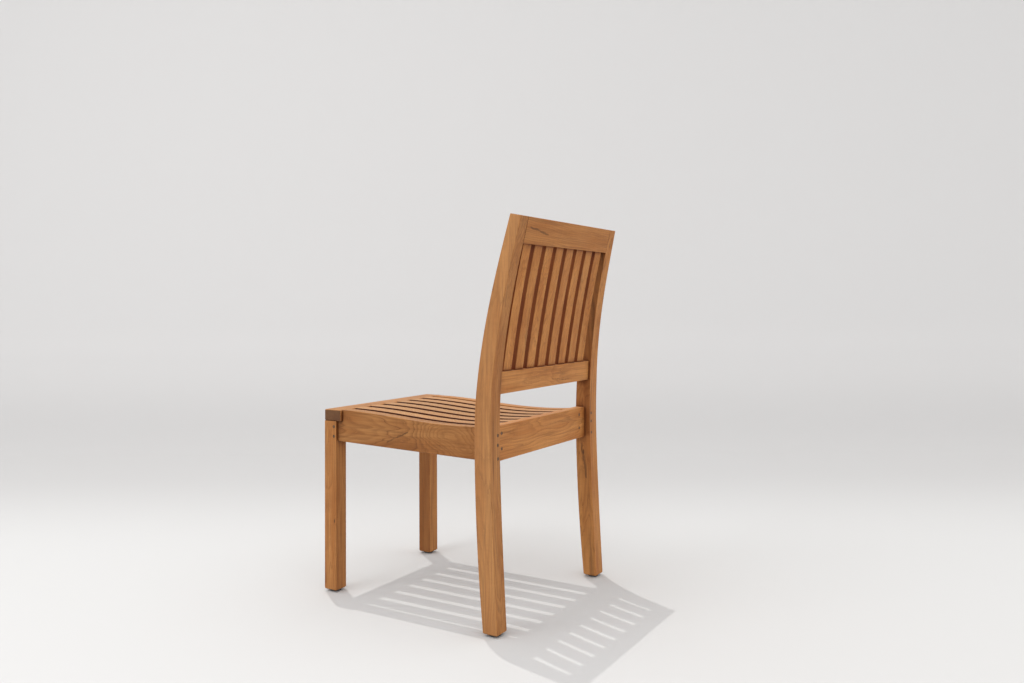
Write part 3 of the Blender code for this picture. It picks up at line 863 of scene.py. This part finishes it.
def wood_group():
    """Solid teak. The point is in centimetres with Z along the grain."""
    tree = bpy.data.node_groups.new("solid_teak", "ShaderNodeTree")
    face = tree.interface
    for name in WOOD_VECTORS:
        face.new_socket(name, in_out="INPUT", socket_type="NodeSocketVector")
    for name, value in WOOD_NUMBERS.items():
        socket = face.new_socket(name, in_out="INPUT", socket_type="NodeSocketFloat")
        socket.default_value = value
    face.new_socket("Color", in_out="OUTPUT", socket_type="NodeSocketColor")
    face.new_socket("Roughness", in_out="OUTPUT", socket_type="NodeSocketFloat")
    face.new_socket("Height", in_out="OUTPUT", socket_type="NodeSocketFloat")
    g = Graph(tree)
    given = tree.nodes.new("NodeGroupInput").outputs
    out = tree.nodes.new("NodeGroupOutput").inputs
    point, seed = given["Point"], given["Seed"]
    parts = g.node("SeparateXYZ")
    g.put(parts.inputs[0], point)
    along = parts.outputs[2]

    def noise(name):
        scale, offset, *texture = NOISES[name]
        return g.noise(g.stretched(point, seed, scale, offset), *texture)

    def stained(base, mark, shade, share):
        return g.mix(g.math("MULTIPLY", mark, share), base, shade)

    knots = 0.0
    hearts = 0.0
    for name in ("Knot A", "Knot B"):
        size = g.math("MAXIMUM", given[name + " size"], LEAST)
        away = g.vector("MULTIPLY", g.vector("SUBTRACT", point, given[name]), KNOT_SQUASH)
        far = g.math("DIVIDE", g.vector("LENGTH", away), size)
        swell = g.math("POWER", BELL_BASE, g.math("MULTIPLY", g.math("MULTIPLY", far, far), -0.5))
        knots = g.math("ADD", knots, g.math("MULTIPLY", swell, g.math("MULTIPLY", size, KNOT_PUSH)))
        heart = g.smooth(g.math("MULTIPLY", far, -1.0), *HEART_EDGE)
        heart = g.math("MULTIPLY", heart, g.math("LESS_THAN", size, SOUND_KNOT))
        hearts = g.math("MAXIMUM", hearts, heart)

    # Rings around a pith that leans and wanders
    wander = g.vector("SUBTRACT", noise("wander")["Color"], (0.5, 0.5, 0.5))
    wander = g.vector("MULTIPLY", wander, WANDER)
    centred = g.vector("SUBTRACT", point, given["Pith"])
    centred = g.vector("ADD", g.vector("ADD", centred, wander), g.scaled(given["Tilt"], along))
    centred = g.vector("MULTIPLY", centred, (1.0, 1.0, 0.0))
    ripple = g.math("MULTIPLY", g.math("SUBTRACT", noise("ripple")[0], 0.5), RIPPLE)
    radius = g.math("ADD", g.vector("LENGTH", centred), ripple)
    radius = g.math("ADD", radius, knots)
    ring = g.math("DIVIDE", radius, given["Ring"])
    ring = g.math("ADD", ring, g.math("MULTIPLY", noise("pace")[0], PACE))
    phase = g.math("FRACT", ring)
    early = g.math("SUBTRACT", 1.0, g.smooth(phase, *EARLY_EDGE))
    late = g.math("MULTIPLY", g.math("POWER", phase, LATE_POWER), LATE_DARK)
    rings = g.math("MAXIMUM", early, g.less(late, g.smooth(phase, *LATE_EDGE)))
    # Every ring has its own strength, so that only some lines stand out
    own = g.node("TexWhiteNoise", noise_dimensions="1D")
    g.put(own.inputs["W"], g.math("FLOOR", ring))
    strength = g.linear(own.outputs[0], FAINTEST_RING, 1.0 - FAINTEST_RING)
    rings = g.math("MULTIPLY", g.math("MULTIPLY", rings, strength), given["Figure"])

    broad, ribbon, fibre = noise("broad")[0], noise("ribbon")[0], noise("fibre")[0]
    pore = g.smooth(noise("pore")[0], *PORE_EDGE)
    pore = g.math("MULTIPLY", pore, g.linear(early, *PORE_STRENGTH))
    mineral = g.math("MULTIPLY", g.smooth(noise("mineral")[0], *MINERAL_EDGE), given["Streaks"])

    # One dark line, bent and uneven in width
    run = g.vector("SUBTRACT", given["Line to"], given["Line from"])
    start = g.vector("SUBTRACT", point, given["Line from"])
    long = g.math("MAXIMUM", g.vector("DOT_PRODUCT", run, run), LEAST)
    share = g.math("DIVIDE", g.vector("DOT_PRODUCT", start, run), long, clamp=True)
    bend = g.vector("SUBTRACT", noise("bend")["Color"], (0.5, 0.5, 0.5))
    bend = g.vector("MULTIPLY", bend, LINE_BEND)
    off = g.vector("ADD", g.vector("SUBTRACT", start, g.scaled(run, share)), bend)
    thin = g.math("MULTIPLY", given["Line width"], g.linear(ribbon, *LINE_SWELL))
    off = g.math("DIVIDE", g.vector("LENGTH", off), g.math("MAXIMUM", thin, THINNEST_LINE))
    dark_line = g.math("SUBTRACT", 1.0, g.smooth(off, *LINE_EDGE))

    # Light that ripples where the grain curls
    curl_far = g.vector("LENGTH", g.vector("SUBTRACT", point, given["Curl centre"]))
    curl_far = g.math("DIVIDE", curl_far, given["Curl reach"])
    curl_near = g.math("SUBTRACT", 1.0, g.smooth(curl_far, *CURL_EDGE))
    curl = g.math("SUBTRACT", noise("curl")[0], 0.5)
    curl = g.math("MULTIPLY", curl, g.math("MULTIPLY", curl_near, given["Curl"]))

    base = g.mix(g.smooth(broad, *BROAD_EDGE), HONEY, AMBER)
    base = stained(base, g.smooth(ribbon, *RIBBON_EDGE), BROWN, RIBBON_STAIN)
    base = stained(base, rings, BROWN, RING_STAIN)
    base = stained(base, mineral, UMBER, MINERAL_STAIN)
    base = stained(base, dark_line, UMBER, LINE_STAIN)
    light = g.math("ADD", g.linear(fibre, *FIBRE_LIGHT), g.math("MULTIPLY", curl, CURL_GLEAM))
    base = g.mix(1.0, base, light, "MULTIPLY")
    base = stained(base, pore, UMBER, PORE_STAIN)
    base = stained(base, hearts, UMBER, HEART_STAIN)
    ended = g.mix(ASH_STAIN, g.mix(1.0, base, END_SHADE, "MULTIPLY"), ASH)
    base = g.mix(given["End grain"], base, ended)
    warm = g.mix(given["Warmth"], COOL_CAST, WARM_CAST)
    base = g.mix(1.0, base, warm, "MULTIPLY")
    base = g.mix(1.0, base, g.linear(given["Tone"], *TONE_LIGHT), "MULTIPLY")
    g.put(out["Color"], base)
    rough = g.math("ADD", g.linear(fibre, *FIBRE_ROUGH), g.math("MULTIPLY", pore, PORE_ROUGH))
    g.put(out["Roughness"], rough)
    height = g.math("MULTIPLY", pore, PORE_LIFT)
    for mark, lift in ((rings, RING_LIFT), (fibre, FIBRE_LIFT), (hearts, HEART_LIFT)):
        height = g.math("ADD", height, g.math("MULTIPLY", mark, lift))
    g.put(out["Height"], height)
    return tree


TEAK = wood_group()
CM_PER_M = 100.0
GRAIN = {"X": ("Y", "Z", "X"), "Y": ("Z", "X", "Y"), "Z": ("X", "Y", "Z")}

# Painted shade colour that the wood goes towards in its recesses: between the seat slats, the back
# slats and elsewhere
RECESS_SHADE = colour(0.27, 0.15, 0.070)
RECESS_SHADE_OF = {"seat_slat": colour(0.160, 0.055, 0.016), "back_slat": colour(0.34, 0.165, 0.050)}
# Painted shade: nooks darken over the first reach in metres, and the seams darken more within the
# second
NOOK_SAMPLES = 6
NOOK_REACH, NOOK_POWER = 0.022, 1.7
SEAM_REACH, SEAM_POWER = 0.004, 1.6
# How far painted shade takes the slats' side faces, which look into the gaps between the slats, towards
# the recess shade
SLAT_SIDE_SHADE = {"seat_slat": 0.97, "back_slat": 0.78}
# The same painted shade for the faces of the right legs that look in under the seat and back, which
# these shade, with the height in metres that it starts at and how far up it takes to reach its full
# strength
INNER_SIDE_SHADE = {"rear_leg_right": (0.40, 0.36), "front_leg_right": (0.44, -1.0)}
INNER_FADE = 0.10
WOOD_GLOSS = 0.28
GRAIN_RELIEF = 0.0004  # metres
# How far faces go towards straw: upper faces, those of the seat slats most, partly real bleaching and
# partly painted sheen, and the sideways faces of two legs, a painted sheen
STRAW = colour(0.620, 0.372, 0.178)
UPPER_BLEACH_AND_SHEEN = 0.15
SLAT_BLEACH_AND_SHEEN = 0.38
SIDE_SHEEN = {"rear_leg_left": 0.14, "rear_leg_right": 0.04}
# How squarely a face looks along an axis before it counts as facing that way, and when it does fully
FACING = (0.45, 0.95)
SLAT_SIDE_FACING = (0.15, 0.60)
END_FACING = (0.70, 0.97)


def turned(point, grain):
    """World centimetres as (across, across, along the grain)."""
    return tuple(point["XYZ".index(axis)] for axis in GRAIN[grain])


def wood(obj, grain, look):
    """The piece's own cut of the wood, with painted shade in its nooks, seams and shaded faces."""
    node = obj["node"]
    kind = node.rsplit("_", 1)[0]
    made, g, surface = blank(obj.name + "_wood")
    coordinates = g.node("TexCoord")
    place = g.node("SeparateXYZ")
    g.put(place.inputs[0], coordinates.outputs["Object"])
    turn = g.node("CombineXYZ")
    for socket, axis in zip(turn.inputs, GRAIN[grain]):
        g.put(socket, place.outputs[axis])
    group = g.node("Group", node_tree=TEAK)
    g.put(group.inputs["Point"], g.vector("MULTIPLY", turn.outputs[0], (CM_PER_M,) * 3))
    facing = g.node("SeparateXYZ")
    g.put(facing.inputs[0], coordinates.outputs["Normal"])
    sideways = g.math("ABSOLUTE", facing.outputs["X"])
    end = g.smooth(g.math("ABSOLUTE", facing.outputs[grain]), *END_FACING)
    g.put(group.inputs["End grain"], end)
    for key, value in look.items():
        group.inputs[key].default_value = value

    # Painted shade from ambient occlusion: low where nooks and seams would lie in shade
    open_air = g.open_air(NOOK_REACH, NOOK_POWER)
    open_air = g.math("MULTIPLY", open_air, g.open_air(SEAM_REACH, SEAM_POWER))
    # Painted shade on the slats' side faces, which look into the dark gaps between them
    if kind in SLAT_SIDE_SHADE:
        side_shade = g.math("MULTIPLY", g.smooth(sideways, *SLAT_SIDE_FACING), SLAT_SIDE_SHADE[kind])
        open_air = g.less(open_air, side_shade)
    # Painted shade on the right legs' faces that look in under the seat and back
    inner_shade, shade_from = INNER_SIDE_SHADE.get(node, (0.0, 0.0))
    inner = g.math("MULTIPLY", g.smooth(facing.outputs["X"], *FACING), inner_shade)
    high = g.smooth(place.outputs["Z"], shade_from, shade_from + INNER_FADE)
    open_air = g.less(open_air, g.math("MULTIPLY", inner, high))

    # Upper faces go paler towards straw: partly real bleaching, partly painted sheen
    pale = SLAT_BLEACH_AND_SHEEN if kind == "seat_slat" else UPPER_BLEACH_AND_SHEEN
    bleach_and_sheen = g.math("MULTIPLY", g.smooth(facing.outputs["Z"], *FACING), pale)
    # Painted sheen: the sideways faces of two legs go paler towards straw
    wear_and_sheen = g.math("MULTIPLY", g.smooth(sideways, *FACING), SIDE_SHEEN.get(node, 0.0))
    body = g.mix(g.math("ADD", bleach_and_sheen, wear_and_sheen), group.outputs["Color"], STRAW)
    # Painted shade: the wood goes towards the recess shade where little open air is left
    recess = g.mix(1.0, body, RECESS_SHADE_OF.get(kind, RECESS_SHADE), "MULTIPLY")
    g.put(surface.inputs["Base Color"], g.mix(open_air, recess, body))
    g.put(surface.inputs["Roughness"], group.outputs["Roughness"])
    surface.inputs["Specular IOR Level"].default_value = WOOD_GLOSS
    g.relief(surface, group.outputs["Height"], strength=0.55, depth=GRAIN_RELIEF)
    obj.data.materials.clear()
    obj.data.materials.append(made)


def grain_of(node):
    """World axis that the piece's grain runs along."""
    if node.startswith(("side_rail", "seat_slat")):
        return "Y"
    if node.startswith(("front_leg", "rear_leg", "back_slat")):
        return "Z"
    return "X"


def look_of(obj, node, grain):
    """The piece's own place and figure in the wood, drawn by its name."""
    draw = random.Random("teak " + node)
    box = [Vector(corner) * CM_PER_M for corner in obj.bound_box]
    middle = sum(box, Vector()) / len(box)
    across = turned(middle, grain)
    swing = draw.uniform(0.0, 2.0 * math.pi)
    reach = draw.uniform(3.5, 8.0)
    look = {
        "Seed": tuple(draw.uniform(-40.0, 40.0) for _ in range(3)),
        "Pith": (across[0] + reach * math.cos(swing), across[1] + reach * math.sin(swing), 0.0),
        "Tilt": (draw.uniform(-0.05, 0.05), draw.uniform(-0.05, 0.05), 0.0),
        "Ring": draw.uniform(0.34, 0.52),
        "Tone": draw.uniform(0.42, 0.62),
        "Warmth": draw.uniform(0.3, 0.7),
        "Streaks": draw.uniform(0.15, 0.5),
    }
    # The back's slats are lighter and warmer than the rest
    if node.startswith("back_slat"):
        look["Tone"] += 0.14
        look["Warmth"] += 0.15
    for start, changes in SPECIAL.items():
        if node.startswith(start):
            look.update(changes)
    return look


def at(grain, x, y, z):
    """World millimetres as the wood's own centimetres."""
    return turned((x / 10.0, y / 10.0, z / 10.0), grain)


# What is particular to some pieces, over what is drawn for them
SPECIAL = {
    "seat_slat": {"Streaks": 0.4, "Tone": 0.18, "Warmth": 0.42},
    "seat_slat_1": {"Tone": 0.40, "Warmth": 0.25},
    "seat_slat_3": {"Tone": 0.00},
    "seat_slat_4": {"Tone": 0.08, "Warmth": 0.30},
    "seat_slat_6": {"Tone": 0.22},
    "front_board": {"Tone": 0.24, "Warmth": 0.5},
    "rear_seat_rail": {"Tone": 0.66},
    "side_rail_left": {
        "Pith": at("Y", 140.0, 0.0, 402.0),
        "Tilt": (0.0, 0.09, 0.0),
        "Ring": 0.50,
        "Tone": 0.12,
        "Knot A": at("Y", 196.0, 67.0, 411.0),
        "Knot A size": 2.2,
        "Knot B": at("Y", 196.0, 128.0, 379.0),
        "Knot B size": 1.5,
        "Figure": 1.5,
        "Line from": at("Y", 202.0, -100.0, 381.0),
        "Line to": at("Y", 202.0, -38.0, 408.0),
        "Line width": 0.30,
        "Curl": 0.55,
        "Curl centre": at("Y", 197.0, 0.0, 425.0),
        "Curl reach": 11.0,
    },
    "top_rail": {
        "Line from": at("X", 188.0, 290.2, 873.0),
        "Line to": at("X", 105.0, 287.3, 861.0),
        "Line width": 0.32,
    },
    "lower_back_rail": {
        "Line from": at("X", -20.0, 224.5, 527.0),
        "Line to": at("X", -92.0, 224.0, 519.0),
        "Line width": 0.20,
        "Tone": 0.66,
    },
    "rear_leg_right": {
        "Knot A": at("Z", -218.0, 208.0, 322.0),
        "Knot A size": 0.5,
        "Line from": at("Z", -218.0, 203.0, 342.0),
        "Line to": at("Z", -218.0, 215.0, 258.0),
        "Line width": 0.50,
        "Tone": 0.62,
        "Streaks": 0.7,
    },
    "front_leg_right": {"Tone": 0.44},
    "rear_leg_left": {
        "Warmth": 0.25,
        "Tone": 0.38,
        "Knot A": at("Z", 224.0, 236.0, 58.0),
        "Knot A size": 0.45,
    },
    "front_leg_left": {
        "Tone": 0.40,
        "Warmth": 0.35,
        "Knot A": at("Z", 209.0, -262.0, 175.0),
        "Knot A size": 0.40,
    },
}


def pad_material():
    """Moulded grey plastic with fine scuffs."""
    made, g, surface = blank("glide_plastic")
    where = g.node("TexCoord").outputs["Object"]
    fine = g.noise(g.vector("MULTIPLY", where, (900.0, 900.0, 900.0)), 3.0)[0]
    wear_and_sheen = g.noise(g.vector("MULTIPLY", where, (120.0, 120.0, 300.0)), 4.0, 0.65)[0]
    clean, scuffed = colour(0.045, 0.045, 0.047), colour(0.13, 0.125, 0.12)
    g.put(surface.inputs["Base Color"], g.mix(g.smooth(wear_and_sheen, 0.45, 0.75), clean, scuffed))
    g.put(surface.inputs["Roughness"], g.linear(wear_and_sheen, 0.45, 0.3))
    g.relief(surface, fine, strength=0.3, depth=0.0002)
    return made


def peg_material():
    """Dark end grain of a dowel."""
    made, g, surface = blank("peg_end_grain")
    where = g.node("TexCoord").outputs["Object"]
    grain = g.noise(g.vector("MULTIPLY", where, (1400.0, 1400.0, 1400.0)), 3.0, 0.6)[0]
    stain = g.noise(g.vector("MULTIPLY", where, (260.0, 260.0, 260.0)), 2.0, 0.5)[0]
    dark, light = colour(0.085, 0.045, 0.024), colour(0.17, 0.095, 0.052)
    base = g.mix(g.smooth(stain, 0.35, 0.65), dark, light)
    pore = g.math("MULTIPLY", g.smooth(grain, 0.5, 0.7), 0.6)
    g.put(surface.inputs["Base Color"], g.mix(pore, base, colour(0.03, 0.018, 0.012)))
    surface.inputs["Roughness"].default_value = 0.7
    g.relief(surface, grain, strength=0.5, depth=0.0003)
    return made


PAD = pad_material()
PEG = peg_material()

for obj in chair.objects:
    node, look = obj["node"], obj["look"]
    if look == PAD_GREY:
        obj.data.materials.append(PAD)
    elif look == PEG_WOOD:
        obj.data.materials.append(PEG)
    else:
        grain = grain_of(node)
        wood(obj, grain, look_of(obj, node, grain))
    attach(obj, "root")
    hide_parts(node)

# Camera
EYE = Vector((1.7978, 1.22665, 0.7012))
VIEW_YAW = math.radians(121.477)
VIEW_PITCH = math.radians(-1.3)
VIEW_ROLL = math.radians(-0.3)
SENSOR_MM = 36.0
LENS_MM = 30.27
LENS_SHIFT = -0.0534
ahead = Vector(
    (
        -math.sin(VIEW_YAW) * math.cos(VIEW_PITCH),
        math.cos(VIEW_YAW) * math.cos(VIEW_PITCH),
        -math.sin(VIEW_PITCH),
    )
)

# Pale floor that turns up into a backdrop, square to the camera's view, in metres from the chair
WALL_AWAY = 2.5
COVE = 0.6
COVE_STEPS = 24
SWEEP_HALF = 9.0
SWEEP_NEAR = -7.0
SWEEP_HIGH = 5.0
# Painted shade: the floor goes darker with distance from the chair, as if its far part lay in shade
FLOOR_NEAR = colour(0.605, 0.609, 0.614)
FLOOR_FAR_SHADE = colour(0.520, 0.520, 0.526)
FLOOR_FADE = (0.3, 1.5)  # distances between which the floor's shade changes
WALL = colour(0.810, 0.808, 0.812)
WALL_FADE = (0.02, 0.62)  # heights between which the floor turns into the wall
PAPER_ROUGH = 0.9


def backdrop():
    """Floor, cove and wall as one sheet."""
    level = Vector((ahead.x, ahead.y, 0.0)).normalized()
    across = Vector((level.y, -level.x, 0.0))
    line = [(SWEEP_NEAR, 0.0)]
    for turn in steps(0.0, math.pi / 2, COVE_STEPS):
        line.append((WALL_AWAY - COVE + COVE * math.sin(turn), COVE - COVE * math.cos(turn)))
    line.append((WALL_AWAY, SWEEP_HIGH))
    bm = bmesh.new()
    sides = []
    for half in (-SWEEP_HALF, SWEEP_HALF):
        places = [level * far + across * half + Vector((0.0, 0.0, up)) for far, up in line]
        sides.append([bm.verts.new(place) for place in places])
    for i in range(len(line) - 1):
        bm.faces.new((sides[0][i], sides[0][i + 1], sides[1][i + 1], sides[1][i]))
    bmesh.ops.recalc_face_normals(bm, faces=bm.faces)
    mesh = bpy.data.meshes.new("backdrop")
    bm.to_mesh(mesh)
    bm.free()
    for face in mesh.polygons:
        face.use_smooth = True
    made = bpy.data.objects.new("backdrop", mesh)
    bpy.context.scene.collection.objects.link(made)
    paper, g, surface = blank("studio_paper")
    where = g.node("TexCoord").outputs["Object"]
    rise = g.node("SeparateXYZ")
    g.put(rise.inputs[0], where)
    far = g.vector("DOT_PRODUCT", where, tuple(level))
    # Painted shade on the far floor
    shade = g.mix(g.smooth(far, *FLOOR_FADE), FLOOR_NEAR, FLOOR_FAR_SHADE)
    shade = g.mix(g.smooth(rise.outputs["Z"], *WALL_FADE), shade, WALL)
    g.put(surface.inputs["Base Color"], shade)
    surface.inputs["Roughness"].default_value = PAPER_ROUGH
    mesh.materials.append(paper)
    made.visible_shadow = False


backdrop()

# Dome of light that grows brighter overhead
SKY_LEVEL = 0.49
SKY_RISE = 0.98
SKY_COLOUR = colour(1.0, 0.985, 0.97)
world = bpy.data.worlds.new("studio")
bpy.context.scene.world = world
world.use_nodes = True
sky = Graph(world.node_tree)
height_of = sky.node("SeparateXYZ")
sky.put(height_of.inputs[0], sky.node("TexCoord").outputs["Generated"])
overhead = sky.math("MAXIMUM", height_of.outputs["Z"], 0.0)
dome = world.node_tree.nodes["Background"]
dome.inputs["Color"].default_value = SKY_COLOUR
sky.put(dome.inputs["Strength"], sky.linear(overhead, SKY_LEVEL, SKY_RISE))

# Key light that draws the chair's shadow
KEY_ENERGY = 0.86
KEY_DEGREES = 0.53  # the sun's own width
KEY_COLOUR = (1.0, 0.97, 0.92)
KEY_RAY = Vector((0.158, 0.232, -1.0))


def aimed(name, light, ray):
    """Lamp that shines along the ray."""
    lamp = bpy.data.objects.new(name, light)
    lamp.rotation_euler = ray.to_track_quat("-Z", "Y").to_euler()
    bpy.context.scene.collection.objects.link(lamp)
    return lamp


key = bpy.data.lights.new("key", "SUN")
key.energy = KEY_ENERGY
key.angle = math.radians(KEY_DEGREES)
key.color = KEY_COLOUR
aimed("key", key, KEY_RAY)

# Soft light from the chair's left, aimed at the seat
FILL_PLACE = Vector((2.5, -1.1, 3.0))
FILL_TARGET = Vector((0.0, 0.0, 0.5))
FILL_SIZE = 1.8
FILL_WATTS = 28.0
fill = bpy.data.lights.new("side_fill", "AREA")
fill.shape = "SQUARE"
fill.size = FILL_SIZE
fill.energy = FILL_WATTS
aimed("side_fill", fill, FILL_TARGET - FILL_PLACE).location = FILL_PLACE

right = ahead.cross(Vector((0.0, 0.0, 1.0))).normalized()
up = right.cross(ahead)
level_right = right * math.cos(VIEW_ROLL) + up * math.sin(VIEW_ROLL)
level_up = up * math.cos(VIEW_ROLL) - right * math.sin(VIEW_ROLL)
lens = bpy.data.cameras.new("camera")
lens.sensor_width = SENSOR_MM
lens.lens = LENS_MM
lens.shift_y = LENS_SHIFT
camera = bpy.data.objects.new("camera", lens)
aim = Matrix((level_right, level_up, -ahead)).transposed().to_4x4()
camera.matrix_world = Matrix.Translation(EYE) @ aim
bpy.context.scene.collection.objects.link(camera)
bpy.context.scene.camera = camera
bpy.context.scene.view_settings.view_transform = "Standard"
